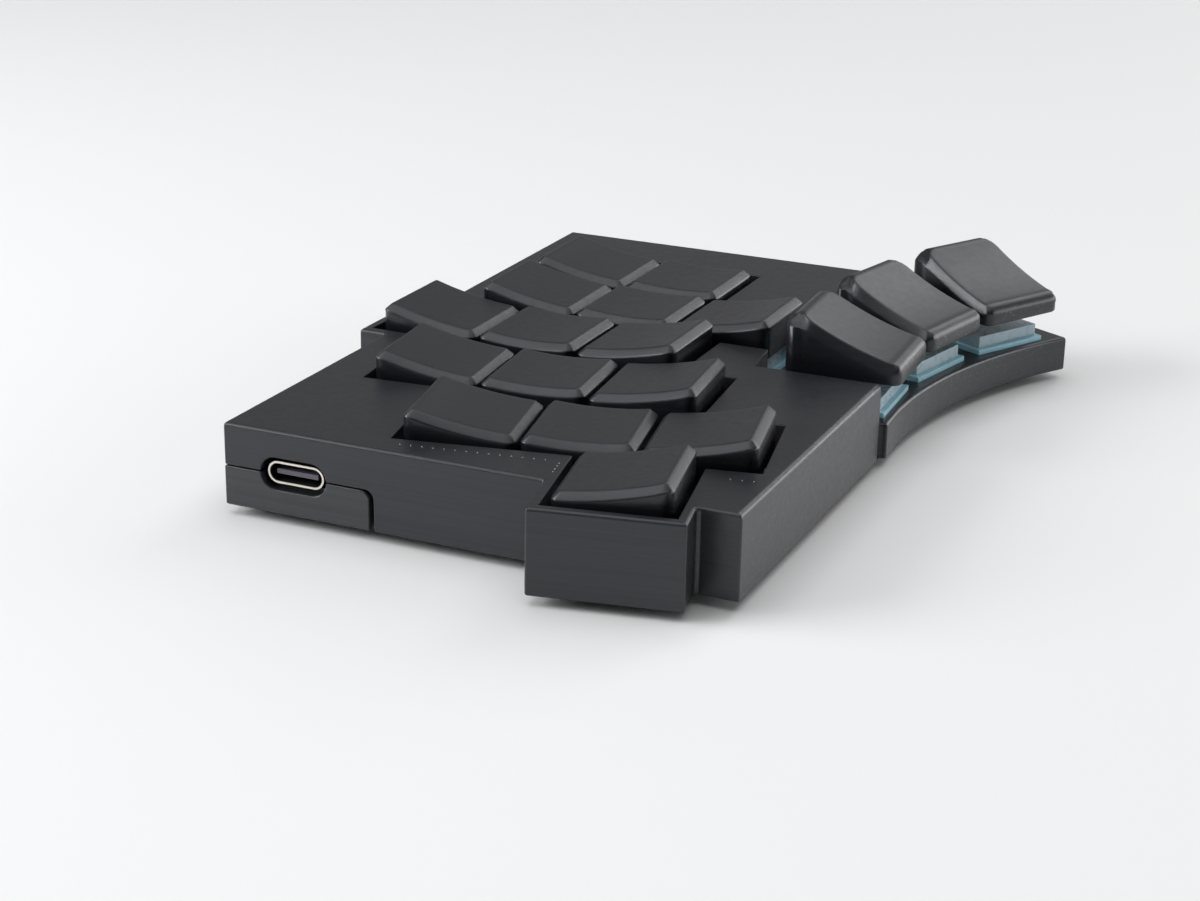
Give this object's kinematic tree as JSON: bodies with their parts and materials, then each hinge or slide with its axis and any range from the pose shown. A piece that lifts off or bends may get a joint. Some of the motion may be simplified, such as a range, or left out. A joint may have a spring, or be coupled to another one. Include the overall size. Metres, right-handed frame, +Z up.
{
  "type": "split keyboard half",
  "caption": "Left half of a split ergonomic keyboard: low printed case with splayed columns of sculpted press keys, a raised fan of thumb keys and a side charging socket.",
  "frame": {"origin": "middle of the plan's bounding box, on the surface that the feet stand on", "axes": "+X from the little finger to the thumb, +Y away from the user, +Z up"},
  "size_m": [0.136, 0.0982, 0.0224],
  "materials": {
    "printed_case": "matte printed plastic with fine layer lines",
    "printed_cover": "matte printed plastic with fine layer lines",
    "printed_cap": "matte printed plastic, faintly grained",
    "switch_blue": "moulded light blue plastic, satin",
    "switch_clear": "milky translucent moulded plastic",
    "stem_white": "moulded off-white plastic, satin",
    "spring_steel": "bright drawn wire",
    "contact_brass": "bright stamped sheet",
    "board_green": "dark solder mask, satin",
    "board_black": "black solder mask, satin",
    "black_resin": "moulded black resin",
    "shield_steel": "stamped sheet, satin",
    "port_steel": "drawn stainless sheet, satin",
    "port_tongue": "moulded dark grey resin",
    "cell_foil": "laminated foil pouch, satin",
    "pad_foam": "closed-cell foam",
    "lead_sleeve": "soft insulating sleeve",
    "slider_white": "moulded off-white plastic",
    "screw_steel": "zinc-plated, satin",
    "insert_brass": "turned, bright",
    "foot_rubber": "soft moulded rubber"
  },
  "bodies": {
    "case": {"top_shell": "printed_case", "bottom_cover": "printed_cover", "switch_lower_housings": "switch_blue", "switch_upper_housings": "switch_clear", "return_springs": "spring_steel", "switch_contacts": "contact_brass", "circuit_board": "board_green", "diodes": "black_resin", "controller_board": "board_black", "controller_shield": "shield_steel", "usb_shell": "port_steel", "usb_tongue": "port_tongue", "battery": "cell_foil", "battery_pad": "pad_foam", "battery_leads": "lead_sleeve", "power_switch_body": "black_resin", "case_screws": "screw_steel", "threaded_inserts": "insert_brass", "rubber_feet": "foot_rubber"},
    "key_pinky_top": {"keycap_pinky_top": "printed_cap", "stem_pinky_top": "stem_white"},
    "key_pinky_home": {"keycap_pinky_home": "printed_cap", "stem_pinky_home": "stem_white"},
    "key_pinky_bottom": {"keycap_pinky_bottom": "printed_cap", "stem_pinky_bottom": "stem_white"},
    "key_ring_top": {"keycap_ring_top": "printed_cap", "stem_ring_top": "stem_white"},
    "key_ring_home": {"keycap_ring_home": "printed_cap", "stem_ring_home": "stem_white"},
    "key_ring_bottom": {"keycap_ring_bottom": "printed_cap", "stem_ring_bottom": "stem_white"},
    "key_middle_top": {"keycap_middle_top": "printed_cap", "stem_middle_top": "stem_white"},
    "key_middle_home": {"keycap_middle_home": "printed_cap", "stem_middle_home": "stem_white"},
    "key_middle_bottom": {"keycap_middle_bottom": "printed_cap", "stem_middle_bottom": "stem_white"},
    "key_index_top": {"keycap_index_top": "printed_cap", "stem_index_top": "stem_white"},
    "key_index_home": {"keycap_index_home": "printed_cap", "stem_index_home": "stem_white"},
    "key_index_bottom": {"keycap_index_bottom": "printed_cap", "stem_index_bottom": "stem_white"},
    "key_inner_top": {"keycap_inner_top": "printed_cap", "stem_inner_top": "stem_white"},
    "key_inner_home": {"keycap_inner_home": "printed_cap", "stem_inner_home": "stem_white"},
    "key_outer": {"keycap_outer": "printed_cap", "stem_outer": "stem_white"},
    "key_thumb_tucked": {"keycap_thumb_tucked": "printed_cap", "stem_thumb_tucked": "stem_white"},
    "key_thumb_home": {"keycap_thumb_home": "printed_cap", "stem_thumb_home": "stem_white"},
    "key_thumb_reach": {"keycap_thumb_reach": "printed_cap", "stem_thumb_reach": "stem_white"},
    "power_slider": {"power_switch_slider": "slider_white"}
  },
  "joints": [
    {"name": "press_pinky_top", "type": "slide", "parent": "case", "child": "key_pinky_top", "axis": [0, 0, -1], "range_m": [0, 0.003], "stiffness_N_per_m": 110, "springref_m": -0.003, "deforming": ["return_springs"]},
    {"name": "press_pinky_home", "type": "slide", "parent": "case", "child": "key_pinky_home", "axis": [0, 0, -1], "range_m": [0, 0.003], "stiffness_N_per_m": 110, "springref_m": -0.003, "deforming": ["return_springs"]},
    {"name": "press_pinky_bottom", "type": "slide", "parent": "case", "child": "key_pinky_bottom", "axis": [0, 0, -1], "range_m": [0, 0.003], "stiffness_N_per_m": 110, "springref_m": -0.003, "deforming": ["return_springs"]},
    {"name": "press_ring_top", "type": "slide", "parent": "case", "child": "key_ring_top", "axis": [0, 0, -1], "range_m": [0, 0.003], "stiffness_N_per_m": 110, "springref_m": -0.003, "deforming": ["return_springs"]},
    {"name": "press_ring_home", "type": "slide", "parent": "case", "child": "key_ring_home", "axis": [0, 0, -1], "range_m": [0, 0.003], "stiffness_N_per_m": 110, "springref_m": -0.003, "deforming": ["return_springs"]},
    {"name": "press_ring_bottom", "type": "slide", "parent": "case", "child": "key_ring_bottom", "axis": [0, 0, -1], "range_m": [0, 0.003], "stiffness_N_per_m": 110, "springref_m": -0.003, "deforming": ["return_springs"]},
    {"name": "press_middle_top", "type": "slide", "parent": "case", "child": "key_middle_top", "axis": [0, 0, -1], "range_m": [0, 0.003], "stiffness_N_per_m": 110, "springref_m": -0.003, "deforming": ["return_springs"]},
    {"name": "press_middle_home", "type": "slide", "parent": "case", "child": "key_middle_home", "axis": [0, 0, -1], "range_m": [0, 0.003], "stiffness_N_per_m": 110, "springref_m": -0.003, "deforming": ["return_springs"]},
    {"name": "press_middle_bottom", "type": "slide", "parent": "case", "child": "key_middle_bottom", "axis": [0, 0, -1], "range_m": [0, 0.003], "stiffness_N_per_m": 110, "springref_m": -0.003, "deforming": ["return_springs"]},
    {"name": "press_index_top", "type": "slide", "parent": "case", "child": "key_index_top", "axis": [0, 0, -1], "range_m": [0, 0.003], "stiffness_N_per_m": 110, "springref_m": -0.003, "deforming": ["return_springs"]},
    {"name": "press_index_home", "type": "slide", "parent": "case", "child": "key_index_home", "axis": [0, 0, -1], "range_m": [0, 0.003], "stiffness_N_per_m": 110, "springref_m": -0.003, "deforming": ["return_springs"]},
    {"name": "press_index_bottom", "type": "slide", "parent": "case", "child": "key_index_bottom", "axis": [0, 0, -1], "range_m": [0, 0.003], "stiffness_N_per_m": 110, "springref_m": -0.003, "deforming": ["return_springs"]},
    {"name": "press_inner_top", "type": "slide", "parent": "case", "child": "key_inner_top", "axis": [0, 0, -1], "range_m": [0, 0.003], "stiffness_N_per_m": 110, "springref_m": -0.003, "deforming": ["return_springs"]},
    {"name": "press_inner_home", "type": "slide", "parent": "case", "child": "key_inner_home", "axis": [0, 0, -1], "range_m": [0, 0.003], "stiffness_N_per_m": 110, "springref_m": -0.003, "deforming": ["return_springs"]},
    {"name": "press_outer", "type": "slide", "parent": "case", "child": "key_outer", "axis": [0, 0, -1], "range_m": [0, 0.003], "stiffness_N_per_m": 110, "springref_m": -0.003, "deforming": ["return_springs"]},
    {"name": "press_thumb_tucked", "type": "slide", "parent": "case", "child": "key_thumb_tucked", "axis": [0, 0, -1], "range_m": [0, 0.003], "stiffness_N_per_m": 110, "springref_m": -0.003, "deforming": ["return_springs"]},
    {"name": "press_thumb_home", "type": "slide", "parent": "case", "child": "key_thumb_home", "axis": [0, 0, -1], "range_m": [0, 0.003], "stiffness_N_per_m": 110, "springref_m": -0.003, "deforming": ["return_springs"]},
    {"name": "press_thumb_reach", "type": "slide", "parent": "case", "child": "key_thumb_reach", "axis": [0, 0, -1], "range_m": [0, 0.003], "stiffness_N_per_m": 110, "springref_m": -0.003, "deforming": ["return_springs"]},
    {"name": "power_slide", "type": "slide", "parent": "case", "child": "power_slider", "axis": [1, 0, 0], "range_m": [0, 0.002]}
  ]
}
